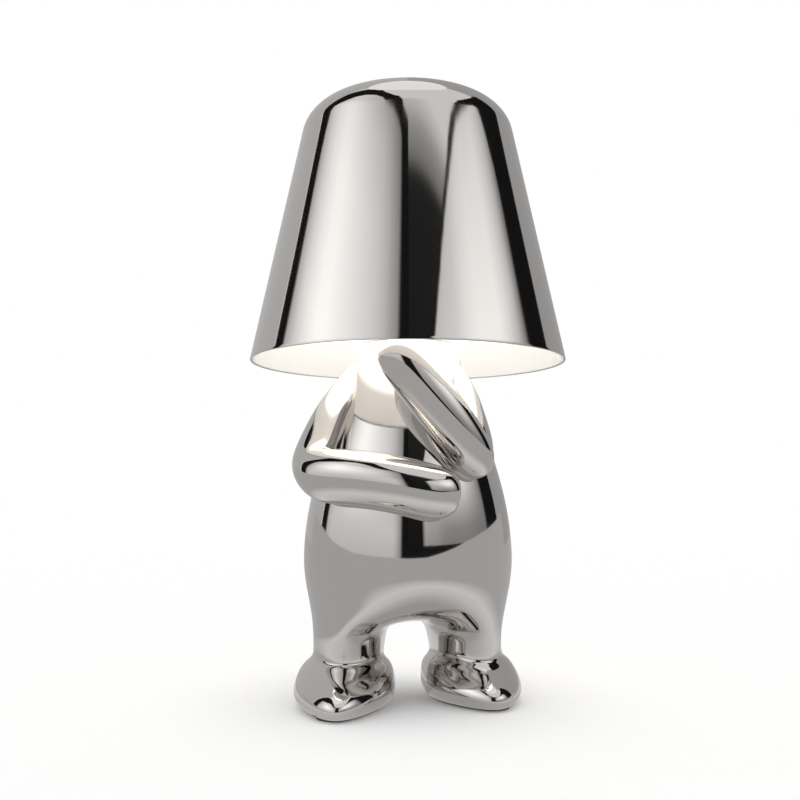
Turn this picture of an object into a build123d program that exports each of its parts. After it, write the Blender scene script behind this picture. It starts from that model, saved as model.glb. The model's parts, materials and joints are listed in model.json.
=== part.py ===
# Cordless desk lamp: a bright-plated standing figure with folded arms carries a lift-off shade.
# Millimetres. +Z is up, the figure faces -Y, and the origin is on the table under the shade's axis.
import os
from math import atan2, cos, radians, sin, sqrt, tan

from build123d import *

# Shared clearances
overrun = 2.0
seat_gap = 0.3
slip_gap = 0.2
thread_gap = 0.05

# Shade
lamp_height = 302.0
shade_rim_height = 167.0
shade_rim_radius = 80.0
shade_crown_radius = 50.5
shade_shoulder_radius = 22.0
shade_wall = 1.2
liner_wall = 1.0
liner_setback = 1.0

# Torso
wall = 3.0
neck_top = 176.0
neck_radius = 24.0
neck_slope = 0.26
chest_height = 120.0
chest_radius = 42.0
belly_height = 66.0
belly_radius = 52.0
crotch_height = 38.0
bowl_radius = 24.0
cavity_floor = 50.0

# Legs and feet
leg_offset = 30.0
ankle_radius = 18.5
thigh_height = 56.0
thigh_offset = 27.5
thigh_radius = 22.3
thigh_depth = 40.0
foot_height = 18.5
foot_top_radius = 12.0
heel_radius = 20.0
toe_radius = 16.0
left_foot_reach = 34.0
left_foot_splay = 6.0
right_foot_reach = 44.0
right_foot_splay = 17.0
sole_height = 0.6
sole_edge_radius = 3.5
sole_rim = 6.0
sole_plate_thickness = 2.0
pad_thickness = 2.0
pad_margin = 2.0
weight_radius = 12.0
weight_length = 30.0

# Arms: each joint lies at an angle round the torso and at a share of the torso's height.
# Its distance off the torso and its thickness are shares of the arm's radius.
crossed_arm_radius = 12.4
crossed_arm_angles = (-88.0, -81.0, -75.0, -48.0, -15.0, 3.0)
crossed_arm_height_shares = (0.855, 0.71, 0.56, 0.511, 0.482, 0.453)
crossed_arm_standoff_shares = (-0.39, 0.19, 0.42, 0.48, 0.52, 0.5)
crossed_arm_radius_shares = (0.73, 0.87, 1.03, 1.02, 1.0, 0.97)
raised_arm_radius = 11.2
raised_arm_angles = (57.0, 43.0, 30.5, 8.5, -16.8)
raised_arm_height_shares = (0.862, 0.71, 0.562, 0.725, 0.917)
raised_arm_standoff_shares = (-0.73, -0.375, 0.23, 0.92, 1.87)
raised_arm_radius_shares = (0.875, 0.98, 0.96, 1.02, 1.0)
arm_gap = 0.3

# Rear cover
cover_width = 46.0
cover_bottom = 56.0
cover_top = 120.0
cover_corner_radius = 12.0
cover_gap = 0.25
lug_width = 14.0
lug_depth = 7.0
lug_inset = 4.5
cover_boss_radius = 4.5
cover_boss_drop = 3.0

# Circuit board on the rear cover
board_width = 26.0
board_height = 38.0
board_thickness = 1.6
board_standoff = 12.5
board_post_radius = 2.8
board_post_spacing = 19.0
usb_rise = 8.0
usb_width = 8.94
usb_thickness = 3.16
usb_shell_wall = 0.3
usb_recess = 1.6
usb_tongue_thickness = 0.7
usb_mouth_depth = 6.5
light_pipe_radius = 1.2
status_led_height = 0.6
chip_size = 5.0
chip_height = 1.2
coil_radius = 3.0
coil_height = 3.0

# Power button and its switch
button_drop = 13.0
button_radius = 5.0
button_flange_radius = 6.2
button_flange_thickness = 1.0
button_travel = 0.8
button_proud = 0.9
button_edge_radius = 0.6
button_pad_radius = 8.0
switch_size = 6.0
switch_height = 3.5
plunger_radius = 1.7
plunger_height = 1.0
plunger_seat = 0.3

# Battery and its tray
cell_radius = 9.2
cell_length = 65.0
cell_button_radius = 2.75
cell_button_height = 1.2
tray_base_thickness = 3.0
tray_base_width = 40.0
tray_base_depth = 26.0
tray_wall = 2.0
tray_height = 58.0
tray_mouth_share = 0.8
tray_screw_spacing = 30.0

# Light head
collar_flange_thickness = 4.0
collar_spigot_length = 5.0
collar_boss_radius = 4.0
collar_boss_spacing = 28.0
collar_boss_length = 16.0
pipe_radius = 5.0
pipe_bore_radius = 3.5
pipe_below = 9.0
nut_flats = 14.0
nut_thickness = 5.0
sink_radius = 20.5
sink_thickness = 4.0
led_board_thickness = 1.6
led_board_bore_radius = 9.0
led_count = 12
led_ring_radius = 15.0
led_size = 3.5
led_height = 0.7
diffuser_wall = 1.6
diffuser_height = 32.0
diffuser_shoulder_radius = 12.0

# Shade seat
seat_radius = 14.0
seat_flat_width = 24.0
seat_thickness = 8.0
magnet_radius = 10.0
magnet_bore_radius = 3.0
magnet_thickness = 4.0
keeper_radius = 11.0
keeper_thickness = 1.5
hub_plate_thickness = 6.0
hub_wall = 3.0

# Screws
screw_radius = 1.4
screw_head_radius = 2.6
screw_head_height = 1.8
screw_slot_width = 0.6
screw_slot_depth = 0.8
screw_bite = 5.0

# Wires
wire_radius = 0.8
wire_pitch = 2.4
wire_bend = 6.0
led_wire_rise = 15.0
cell_wire_spacing = 9.6
cell_wire_lift = 13.0
cell_wire_drop = 15.0


def shade_form(inset, base_lift):
    # The shade's outer shape drawn in by an even inset, from base_lift above the rim.
    lean = atan2(shade_rim_radius - shade_crown_radius, lamp_height - shade_rim_height)
    top = lamp_height - inset
    base = shade_rim_height + base_lift
    top_radius = shade_crown_radius + inset * tan(lean) - inset / cos(lean)
    base_radius = shade_rim_radius - base_lift * tan(lean) - inset / cos(lean)
    with BuildPart() as form:
        with BuildSketch(Plane.XZ):
            with BuildLine():
                Polyline((0, base), (base_radius, base), (top_radius, top), (0, top), close=True)
            make_face()
        revolve(axis=Axis.Z)
        fillet(form.edges().sort_by(Axis.Z)[-1], shade_shoulder_radius - inset)
    return form.part


def torso_side(inset):
    # The torso's outline from belly to neck, radius against height.
    return Spline(
        (belly_radius - inset, belly_height),
        (chest_radius - inset, chest_height),
        (neck_radius - inset, neck_top),
        tangents=[(0, 1), (-neck_slope, 1)],
    )


def torso_radius_at(height):
    # The torso's outer radius at a height: an ellipse below the belly line, the side's spline above it.
    if height < belly_height:
        share = (belly_height - height) / (belly_height - crotch_height)
        return bowl_radius + (belly_radius - bowl_radius) * sqrt(1 - share**2)
    level = Axis((0, height, 0), (1, 0, 0))
    return torso_side(0).find_intersection_points(level)[0].X


def torso_form(inset):
    # The pear-shaped torso drawn in by an even inset, from the crotch to the neck.
    bowl = belly_radius - bowl_radius - inset
    drop = belly_height - crotch_height - inset
    with BuildPart() as form:
        with BuildSketch(Plane.XZ):
            with BuildLine():
                Line((0, belly_height - drop), (bowl_radius, belly_height - drop))
                EllipticalCenterArc((bowl_radius, belly_height), bowl, drop, 270, arc_size=90)
                torso_side(inset)
                Line((neck_radius - inset, neck_top), (0, neck_top))
                Line((0, neck_top), (0, belly_height - drop))
            make_face()
        revolve(axis=Axis.Z)
    return form.part


def foot_reach(side):
    # How far the toe's centre lies in front of the heel's, on one side.
    return left_foot_reach if side > 0 else right_foot_reach


def foot_plane(side, height):
    # A plane over the foot of one side, with its x axis from heel to toe.
    turn = radians(left_foot_splay if side > 0 else right_foot_splay)
    return Plane(
        origin=(side * leg_offset, 0, height),
        x_dir=(side * sin(turn), -cos(turn), 0),
        z_dir=(0, 0, 1),
    )


def foot_outline(side, height, inset):
    # The foot's plan, round at heel and toe, drawn in by an even inset.
    with BuildSketch(foot_plane(side, height)) as outline:
        Circle(heel_radius - inset)
        with Locations((foot_reach(side), 0)):
            Circle(toe_radius - inset)
        make_hull()
    return outline.sketch


def foot_form(side):
    # A low domed foot with a small round at the sole.
    with BuildPart() as form:
        extrude(foot_outline(side, sole_height, 0), amount=foot_height - sole_height)
        fillet(form.faces().sort_by(Axis.Z)[-1].edges(), foot_top_radius)
        fillet(form.faces().sort_by(Axis.Z)[0].edges(), sole_edge_radius)
    return form.part


def leg_form(side):
    with BuildPart() as form:
        with BuildSketch(Plane((side * leg_offset, 0, foot_height / 2))):
            Circle(ankle_radius)
        with BuildSketch(Plane((side * thigh_offset, 0, thigh_height))):
            Ellipse(thigh_radius, thigh_depth)
        loft()
    return form.part


def arm_form(radius, angles, height_shares, standoff_shares, radius_shares, growth):
    # A tapering arm along joints that lie round the torso, with a ball at every joint.
    joints = []
    for angle, height_share, standoff_share in zip(angles, height_shares, standoff_shares):
        height = crotch_height + height_share * (neck_top - crotch_height)
        reach = torso_radius_at(height) + standoff_share * radius
        joints.append(Vector(reach * sin(radians(angle)), -reach * cos(radians(angle)), height))
    sizes = [radius * share + growth for share in radius_shares]
    with BuildPart() as form:
        for joint, size in zip(joints, sizes):
            with Locations(joint):
                Sphere(size)
        for start, end, start_size, end_size in zip(joints, joints[1:], sizes, sizes[1:]):
            with BuildSketch(Plane(start, z_dir=end - start)):
                Circle(start_size)
            with BuildSketch(Plane(end, z_dir=end - start)):
                Circle(end_size)
            loft()
    return form.part


def crossed_arm_form(growth):
    return arm_form(
        crossed_arm_radius,
        crossed_arm_angles,
        crossed_arm_height_shares,
        crossed_arm_standoff_shares,
        crossed_arm_radius_shares,
        growth,
    )


def raised_arm_form(growth):
    return arm_form(
        raised_arm_radius,
        raised_arm_angles,
        raised_arm_height_shares,
        raised_arm_standoff_shares,
        raised_arm_radius_shares,
        growth,
    )


def cover_prism(inset):
    # The rear opening as a rounded prism along +Y.
    with BuildPart() as prism:
        with BuildSketch(Plane((0, 0, (cover_bottom + cover_top) / 2), x_dir=(1, 0, 0), z_dir=(0, 1, 0))):
            RectangleRounded(
                cover_width - 2 * inset,
                cover_top - cover_bottom - 2 * inset,
                cover_corner_radius - inset,
            )
        extrude(amount=belly_radius + overrun)
    return prism.part


def rear_plane(x, y, z):
    # A plane whose normal points out of the lamp's back.
    return Plane((x, y, z), x_dir=(-1, 0, 0), z_dir=(0, 1, 0))


def screw_form(seat, grip):
    # A pan-head screw whose head sits on the seat plane and whose shank runs grip below it.
    with BuildPart() as form:
        with BuildSketch(seat):
            Circle(screw_head_radius)
        extrude(amount=screw_head_height)
        fillet(form.faces().sort_by(Axis(seat.origin, seat.z_dir))[-1].edges(), screw_slot_width)
        with BuildSketch(seat):
            Circle(screw_radius)
        extrude(amount=-grip)
        with BuildSketch(seat.offset(screw_head_height)):
            Rectangle(2 * screw_radius, screw_slot_width)
            Rectangle(screw_slot_width, 2 * screw_radius)
        extrude(amount=-screw_slot_depth, mode=Mode.SUBTRACT)
    return form.part


def wire_form(points, start_plane):
    # An insulated wire along straight runs joined by arcs.
    with BuildPart() as form:
        with BuildLine():
            FilletPolyline(*points, radius=wire_bend)
        with BuildSketch(start_plane):
            Circle(wire_radius)
        sweep()
    return form.part


def save(solid, name):
    solid.label = name
    export_step(solid, f"parts/{name}.step")


os.makedirs("parts", exist_ok=True)

# Shade shell, liner, hub and keeper plate
with BuildPart() as shade_shell:
    add(shade_form(0, 0))
    add(shade_form(shade_wall, 0), mode=Mode.SUBTRACT)
save(shade_shell.part, "shade_shell")

liner_inset = shade_wall + slip_gap
with BuildPart() as shade_liner:
    add(shade_form(liner_inset, liner_setback))
    add(shade_form(liner_inset + liner_wall, liner_setback), mode=Mode.SUBTRACT)
save(shade_liner.part, "shade_liner")

hub_top = lamp_height - liner_inset - liner_wall
keeper_top = hub_top - hub_plate_thickness
magnet_top = keeper_top - keeper_thickness - seat_gap
seat_bottom = magnet_top - seat_thickness
hub_radius = seat_radius + slip_gap + hub_wall
with BuildPart() as shade_hub:
    with BuildSketch(Plane.XY.offset(seat_bottom)):
        Circle(hub_radius)
    extrude(amount=hub_top - seat_bottom)
    with BuildSketch(Plane.XY.offset(seat_bottom)):
        Circle(seat_radius + slip_gap)
        Rectangle(
            2 * hub_radius, seat_flat_width + 2 * slip_gap, mode=Mode.INTERSECT
        )
    extrude(amount=keeper_top - seat_bottom, mode=Mode.SUBTRACT)
save(shade_hub.part, "shade_hub")

with BuildPart() as keeper_plate:
    with BuildSketch(Plane.XY.offset(keeper_top)):
        Circle(keeper_radius)
    extrude(amount=-keeper_thickness)
save(keeper_plate.part, "keeper_plate")

# Seat on top of the pipe, with its magnet
pipe_top = magnet_top - magnet_thickness
with BuildPart() as shade_seat:
    with BuildSketch(Plane.XY.offset(seat_bottom)):
        Circle(seat_radius)
        Rectangle(2 * seat_radius, seat_flat_width, mode=Mode.INTERSECT)
    extrude(amount=seat_thickness)
    with BuildSketch(Plane.XY.offset(magnet_top)):
        Circle(magnet_radius + thread_gap)
    extrude(amount=-magnet_thickness, mode=Mode.SUBTRACT)
    with BuildSketch(Plane.XY.offset(seat_bottom)):
        Circle(pipe_radius + thread_gap)
    extrude(amount=seat_thickness, mode=Mode.SUBTRACT)
save(shade_seat.part, "shade_seat")

with BuildPart() as seat_magnet:
    with BuildSketch(Plane.XY.offset(magnet_top)):
        Circle(magnet_radius)
        Circle(magnet_bore_radius, mode=Mode.SUBTRACT)
    extrude(amount=-magnet_thickness)
save(seat_magnet.part, "seat_magnet")

# Figure: one hollow moulding of torso, legs and feet, with its bosses, lugs and openings
boss_top = neck_top - collar_spigot_length
cover_screw_heights = (cover_bottom + lug_inset, cover_top - lug_inset)
lug_faces = [torso_radius_at(height) - wall - cover_boss_drop for height in cover_screw_heights]
lug_spans = (
    (cavity_floor - overrun, cover_bottom + 2 * lug_inset),
    (cover_top - 2 * lug_inset, cover_top + lug_width),
)
with BuildPart() as lugs:
    for face, (low, high) in zip(lug_faces, lug_spans):
        with BuildSketch(rear_plane(0, face, (low + high) / 2)):
            Rectangle(lug_width, high - low)
        extrude(amount=-lug_depth)
    for side in (-1, 1):
        with BuildSketch(Plane((side * collar_boss_spacing / 2, 0, boss_top))):
            Circle(collar_boss_radius)
            with Locations((side * collar_boss_radius, 0)):
                Rectangle(2 * collar_boss_radius, 2 * collar_boss_radius)
        extrude(amount=-collar_boss_length)
    add(torso_form(wall / 2), mode=Mode.INTERSECT)

with BuildPart() as cavity:
    add(torso_form(wall))
    split(bisect_by=Plane.XY.offset(cavity_floor), keep=Keep.TOP)

weight_top = pad_thickness + sole_plate_thickness + weight_length
tray_base_top = cavity_floor + tray_base_thickness
with BuildPart() as body_shell:
    add(torso_form(0))
    for side in (-1, 1):
        add(leg_form(side))
        add(foot_form(side))
    add(cavity.part, mode=Mode.SUBTRACT)
    add(cover_prism(0), mode=Mode.SUBTRACT)
    add(lugs.part)
    for face, height in zip(lug_faces, cover_screw_heights):
        with BuildSketch(rear_plane(0, face, height)):
            Circle(screw_radius + thread_gap)
        extrude(amount=-lug_depth, mode=Mode.SUBTRACT)
    for side in (-1, 1):
        with BuildSketch(Plane((side * collar_boss_spacing / 2, 0, boss_top))):
            Circle(screw_radius + thread_gap)
        extrude(amount=-screw_bite - overrun, mode=Mode.SUBTRACT)
        with BuildSketch(Plane((side * tray_screw_spacing / 2, 0, cavity_floor))):
            Circle(screw_radius + thread_gap)
        extrude(amount=-screw_bite - overrun, mode=Mode.SUBTRACT)
        opening = foot_outline(side, 0, sole_rim)
        extrude(opening, amount=pad_thickness + sole_plate_thickness, mode=Mode.SUBTRACT)
        with BuildSketch(Plane((side * leg_offset, 0, 0))):
            Circle(weight_radius + slip_gap)
        extrude(amount=weight_top, mode=Mode.SUBTRACT)
save(body_shell.part, "body_shell")

# Arms, moulded apart and set against the torso
torso = torso_form(0)
with BuildPart() as crossed_arm:
    add(crossed_arm_form(0))
    add(torso, mode=Mode.SUBTRACT)
save(crossed_arm.part, "crossed_arm")

with BuildPart() as raised_arm:
    add(raised_arm_form(0))
    add(torso, mode=Mode.SUBTRACT)
    add(crossed_arm_form(arm_gap), mode=Mode.SUBTRACT)
save(raised_arm.part, "raised_arm")

# Soles: a plate, a rubber pad and a steel weight in each foot
for side, word in ((-1, "right"), (1, "left")):
    with BuildPart() as sole_plate:
        extrude(foot_outline(side, pad_thickness, sole_rim + slip_gap), amount=sole_plate_thickness)
        with BuildSketch(foot_plane(side, pad_thickness)):
            Circle(screw_radius + thread_gap)
        extrude(amount=sole_plate_thickness, mode=Mode.SUBTRACT)
    save(sole_plate.part, f"{word}_sole_plate")

    with BuildPart() as sole_pad:
        extrude(foot_outline(side, 0, sole_rim + slip_gap + pad_margin), amount=pad_thickness)
        with BuildSketch(foot_plane(side, 0)):
            Circle(screw_head_radius + slip_gap)
        extrude(amount=pad_thickness, mode=Mode.SUBTRACT)
    save(sole_pad.part, f"{word}_sole_pad")

    with BuildPart() as foot_weight:
        with BuildSketch(foot_plane(side, pad_thickness + sole_plate_thickness)):
            Circle(weight_radius)
            Circle(screw_radius + thread_gap, mode=Mode.SUBTRACT)
        extrude(amount=weight_length)
    save(foot_weight.part, f"{word}_foot_weight")

with BuildPart() as sole_screws:
    for side in (-1, 1):
        seat = Plane((side * leg_offset, 0, pad_thickness), z_dir=(0, 0, -1))
        add(screw_form(seat, sole_plate_thickness + screw_bite))
save(sole_screws.part, "sole_screws")

# Rear cover: the panel cut from the torso's back, with its screw bosses, board posts and openings
board_height_centre = (cover_bottom + cover_top) / 2
board_face = torso_radius_at(board_height_centre) - board_standoff
button_height = board_height_centre - button_drop
usb_height = board_height_centre + usb_rise
switch_top = board_face + switch_height
plunger_top = switch_top + plunger_height
flange_bottom = plunger_top + plunger_seat
flange_top = flange_bottom + button_flange_thickness
button_pad_face = flange_top + seat_gap
button_top = torso_radius_at(button_height) + button_proud
usb_end = torso_radius_at(usb_height) - usb_recess

with BuildPart() as cover_bosses:
    for face, height in zip(lug_faces, cover_screw_heights):
        with BuildSketch(rear_plane(0, face, height)):
            Circle(cover_boss_radius)
        extrude(amount=belly_radius)
    for side in (-1, 1):
        with BuildSketch(rear_plane(side * board_post_spacing / 2, board_face, board_height_centre)):
            Circle(board_post_radius)
        extrude(amount=belly_radius)
    with BuildSketch(rear_plane(0, button_pad_face, button_height)):
        Circle(button_pad_radius)
    extrude(amount=belly_radius)
    add(torso_form(wall / 2), mode=Mode.INTERSECT)

with BuildPart() as rear_cover:
    add(torso)
    add(torso_form(wall), mode=Mode.SUBTRACT)
    add(cover_prism(cover_gap), mode=Mode.INTERSECT)
    add(cover_bosses.part)
    for face, height in zip(lug_faces, cover_screw_heights):
        with BuildSketch(rear_plane(0, face, height)):
            Circle(screw_radius + thread_gap)
        extrude(amount=belly_radius, mode=Mode.SUBTRACT)
        with BuildSketch(rear_plane(0, face + cover_boss_drop, height)):
            Circle(screw_head_radius + slip_gap)
        extrude(amount=belly_radius, mode=Mode.SUBTRACT)
    for side in (-1, 1):
        with BuildSketch(rear_plane(side * board_post_spacing / 2, board_face, board_height_centre)):
            Circle(screw_radius + thread_gap)
        extrude(amount=screw_bite + thread_gap, mode=Mode.SUBTRACT)
    with BuildSketch(rear_plane(0, board_face, button_height)):
        Circle(button_radius + slip_gap)
    extrude(amount=belly_radius, mode=Mode.SUBTRACT)
    with BuildSketch(rear_plane(0, board_face, usb_height)):
        SlotOverall(usb_width + 2 * slip_gap, usb_thickness + 2 * slip_gap)
    extrude(amount=belly_radius, mode=Mode.SUBTRACT)
    with BuildSketch(rear_plane(0, board_face, board_height_centre)):
        Circle(light_pipe_radius + thread_gap)
    extrude(amount=belly_radius, mode=Mode.SUBTRACT)
save(rear_cover.part, "rear_cover")

with BuildPart() as cover_screws:
    for face, height in zip(lug_faces, cover_screw_heights):
        add(screw_form(rear_plane(0, face + cover_boss_drop, height), cover_boss_drop + screw_bite))
save(cover_screws.part, "cover_screws")

# Circuit board with its parts
with BuildPart() as main_board:
    with BuildSketch(rear_plane(0, board_face, board_height_centre)):
        RectangleRounded(board_width, board_height, board_post_radius)
        with GridLocations(board_post_spacing, 0, 2, 1):
            Circle(screw_radius + thread_gap, mode=Mode.SUBTRACT)
    extrude(amount=-board_thickness)
save(main_board.part, "main_board")

with BuildPart() as board_screws:
    for side in (-1, 1):
        seat = Plane(
            (side * board_post_spacing / 2, board_face - board_thickness, board_height_centre),
            z_dir=(0, -1, 0),
        )
        add(screw_form(seat, board_thickness + screw_bite))
save(board_screws.part, "board_screws")

board_front = Plane(
    (0, board_face - board_thickness, board_height_centre), x_dir=(1, 0, 0), z_dir=(0, -1, 0)
)
with BuildPart() as board_chips:
    with BuildSketch(board_front):
        with GridLocations(2 * chip_size, 4 * chip_size, 2, 2):
            Rectangle(chip_size, chip_size)
    extrude(amount=chip_height)
    with BuildSketch(board_front):
        Circle(coil_radius)
    extrude(amount=coil_height)
    with BuildSketch(rear_plane(0, board_face, board_height_centre)):
        Rectangle(2 * light_pipe_radius, light_pipe_radius)
    extrude(amount=status_led_height)
save(board_chips.part, "board_chips")

with BuildPart() as usb_socket:
    with BuildSketch(rear_plane(0, board_face, usb_height)):
        SlotOverall(usb_width, usb_thickness)
    extrude(amount=usb_end - board_face)
    with BuildSketch(rear_plane(0, usb_end, usb_height)):
        SlotOverall(usb_width - 2 * usb_shell_wall, usb_thickness - 2 * usb_shell_wall)
    extrude(amount=-usb_mouth_depth, mode=Mode.SUBTRACT)
    with BuildSketch(rear_plane(0, usb_end - usb_mouth_depth, usb_height)):
        Rectangle(usb_width - 2 * usb_thickness + 2 * usb_tongue_thickness, usb_tongue_thickness)
    extrude(amount=usb_mouth_depth - usb_tongue_thickness)
save(usb_socket.part, "usb_socket")

with BuildPart() as light_pipe:
    with BuildSketch(rear_plane(0, board_face + status_led_height, board_height_centre)):
        Circle(light_pipe_radius)
    extrude(amount=torso_radius_at(board_height_centre) - board_face - status_led_height)
save(light_pipe.part, "light_pipe")

# Power button and the switch that it presses
with BuildPart() as tact_switch:
    with BuildSketch(rear_plane(0, board_face, button_height)):
        Rectangle(switch_size, switch_size)
    extrude(amount=switch_height)
    with BuildSketch(rear_plane(0, switch_top, button_height)):
        Circle(plunger_radius + slip_gap)
    extrude(amount=-button_travel - plunger_height, mode=Mode.SUBTRACT)
save(tact_switch.part, "tact_switch")

with BuildPart() as switch_plunger:
    with BuildSketch(rear_plane(0, plunger_top, button_height)):
        Circle(plunger_radius)
    extrude(amount=-plunger_height - plunger_seat)
save(switch_plunger.part, "switch_plunger")

with BuildPart() as power_button:
    with BuildSketch(rear_plane(0, plunger_top, button_height)):
        Circle(plunger_radius)
    extrude(amount=plunger_seat)
    with BuildSketch(rear_plane(0, flange_bottom, button_height)):
        Circle(button_flange_radius)
    extrude(amount=button_flange_thickness)
    with BuildSketch(rear_plane(0, flange_top, button_height)):
        Circle(button_radius)
    extrude(amount=button_top - flange_top)
    fillet(power_button.faces().sort_by(Axis.Y)[-1].edges(), button_edge_radius)
save(power_button.part, "power_button")

# Battery cell in its tray on the cavity floor
cell_bottom = tray_base_top
cradle_radius = cell_radius + slip_gap
with BuildPart() as battery_tray:
    with BuildSketch(Plane.XY.offset(cavity_floor)):
        RectangleRounded(tray_base_width, tray_base_depth, cover_boss_radius)
        with GridLocations(tray_screw_spacing, 0, 2, 1):
            Circle(screw_radius + thread_gap, mode=Mode.SUBTRACT)
    extrude(amount=tray_base_thickness)
    with BuildSketch(Plane.XY.offset(tray_base_top)):
        Circle(cradle_radius + tray_wall)
        Circle(cradle_radius, mode=Mode.SUBTRACT)
        with Locations((0, -cradle_radius - tray_wall)):
            Rectangle(
                2 * tray_mouth_share * cradle_radius,
                2 * cradle_radius,
                mode=Mode.SUBTRACT,
            )
    extrude(amount=tray_height)
save(battery_tray.part, "battery_tray")

with BuildPart() as battery_cell:
    with BuildSketch(Plane.XY.offset(cell_bottom)):
        Circle(cell_radius)
    extrude(amount=cell_length)
    fillet(battery_cell.edges().filter_by(GeomType.CIRCLE), cell_button_height / 2)
    with BuildSketch(Plane.XY.offset(cell_bottom + cell_length)):
        Circle(cell_button_radius)
    extrude(amount=cell_button_height)
save(battery_cell.part, "battery_cell")

with BuildPart() as tray_screws:
    for side in (-1, 1):
        seat = Plane((side * tray_screw_spacing / 2, 0, tray_base_top))
        add(screw_form(seat, tray_base_thickness + screw_bite))
save(tray_screws.part, "tray_screws")

# Light head on the neck
flange_level = neck_top + collar_flange_thickness
with BuildPart() as neck_collar:
    with BuildSketch(Plane.XY.offset(neck_top)):
        Circle(neck_radius)
    extrude(amount=collar_flange_thickness)
    with BuildSketch(Plane.XY.offset(neck_top)):
        Circle(neck_radius - wall - slip_gap)
    extrude(amount=-collar_spigot_length)
    with BuildSketch(Plane.XY.offset(flange_level)):
        Circle(pipe_radius + thread_gap)
    extrude(amount=-collar_flange_thickness - collar_spigot_length, mode=Mode.SUBTRACT)
    with BuildSketch(Plane.XY.offset(flange_level)):
        with GridLocations(collar_boss_spacing, 0, 2, 1):
            Circle(screw_head_radius + slip_gap)
    extrude(amount=-collar_flange_thickness, mode=Mode.SUBTRACT)
    with BuildSketch(Plane.XY.offset(neck_top)):
        with GridLocations(collar_boss_spacing, 0, 2, 1):
            Circle(screw_radius + thread_gap)
        with GridLocations(0, collar_boss_spacing, 1, 2):
            Circle(wire_pitch)
    extrude(amount=-collar_spigot_length, mode=Mode.SUBTRACT)
    with BuildSketch(Plane.XY.offset(flange_level)):
        with GridLocations(0, collar_boss_spacing, 1, 2):
            Circle(wire_pitch)
    extrude(amount=-collar_flange_thickness, mode=Mode.SUBTRACT)
save(neck_collar.part, "neck_collar")

with BuildPart() as collar_screws:
    for side in (-1, 1):
        seat = Plane((side * collar_boss_spacing / 2, 0, neck_top))
        add(screw_form(seat, collar_spigot_length + screw_bite))
save(collar_screws.part, "collar_screws")

spigot_bottom = neck_top - collar_spigot_length
pipe_bottom = spigot_bottom - pipe_below
with BuildPart() as lamp_pipe:
    with BuildSketch(Plane.XY.offset(pipe_bottom)):
        Circle(pipe_radius)
        Circle(pipe_bore_radius, mode=Mode.SUBTRACT)
    extrude(amount=pipe_top - pipe_bottom)
save(lamp_pipe.part, "lamp_pipe")

sink_top = flange_level + sink_thickness
with BuildPart() as pipe_nuts:
    for level in (spigot_bottom - nut_thickness, sink_top, seat_bottom - nut_thickness):
        with BuildSketch(Plane.XY.offset(level)):
            RegularPolygon(nut_flats / 2, 6, major_radius=False)
            Circle(pipe_radius + thread_gap, mode=Mode.SUBTRACT)
        extrude(amount=nut_thickness)
save(pipe_nuts.part, "pipe_nuts")

with BuildPart() as heat_sink:
    with BuildSketch(Plane.XY.offset(flange_level)):
        Circle(sink_radius)
        Circle(pipe_radius + thread_gap, mode=Mode.SUBTRACT)
        with GridLocations(0, collar_boss_spacing, 1, 2):
            Circle(wire_pitch, mode=Mode.SUBTRACT)
    extrude(amount=sink_thickness)
save(heat_sink.part, "heat_sink")

with BuildPart() as led_board:
    with BuildSketch(Plane.XY.offset(sink_top)):
        Circle(sink_radius)
        Circle(led_board_bore_radius, mode=Mode.SUBTRACT)
    extrude(amount=led_board_thickness)
save(led_board.part, "led_board")

with BuildPart() as leds:
    with BuildSketch(Plane.XY.offset(sink_top + led_board_thickness)):
        with PolarLocations(led_ring_radius, led_count):
            Rectangle(led_size, led_size)
    extrude(amount=led_height)
save(leds.part, "leds")

diffuser_radius = sink_radius + slip_gap + diffuser_wall
with BuildPart() as diffuser:
    with BuildSketch(Plane.XY.offset(flange_level)):
        Circle(diffuser_radius)
    extrude(amount=diffuser_height)
    fillet(diffuser.edges().sort_by(Axis.Z)[-1], diffuser_shoulder_radius)
    offset(
        amount=-diffuser_wall,
        openings=diffuser.faces().sort_by(Axis.Z)[0],
        mode=Mode.REPLACE,
    )
    with BuildSketch(Plane.XY.offset(flange_level)):
        Circle(pipe_radius + slip_gap)
    extrude(amount=diffuser_height + overrun, mode=Mode.SUBTRACT)
save(diffuser.part, "diffuser")

# Wires: two from the LED board and two from the cell, each down to the main board
board_front_face = board_face - board_thickness
led_wire_reach = collar_boss_spacing / 2
led_wire_height = board_height_centre + led_wire_rise
cell_top = cell_bottom + cell_length
cell_wire_top = cell_top + cell_wire_lift
cell_wire_reach = (cradle_radius + tray_wall + board_front_face) / 2
cell_wire_height = board_height_centre - cell_wire_drop
with BuildPart() as led_leads:
    for side in (-1, 1):
        x = side * wire_pitch / 2
        points = (
            (x, led_wire_reach, sink_top),
            (x, led_wire_reach, led_wire_height),
            (x, board_front_face, led_wire_height),
        )
        add(wire_form(points, Plane(points[0], z_dir=(0, 0, -1))))
save(led_leads.part, "led_leads")

with BuildPart() as battery_leads:
    for side in (-1, 1):
        x = side * cell_wire_spacing / 2
        points = (
            (x, 0, cell_top),
            (x, 0, cell_wire_top),
            (x, cell_wire_reach, cell_wire_top),
            (x, cell_wire_reach, cell_wire_height),
            (x, board_front_face, cell_wire_height),
        )
        add(wire_form(points, Plane(points[0], z_dir=(0, 0, 1))))
save(battery_leads.part, "battery_leads")
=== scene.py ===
import json
import math

import bmesh
import bpy
from mathutils import Matrix, Vector


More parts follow.
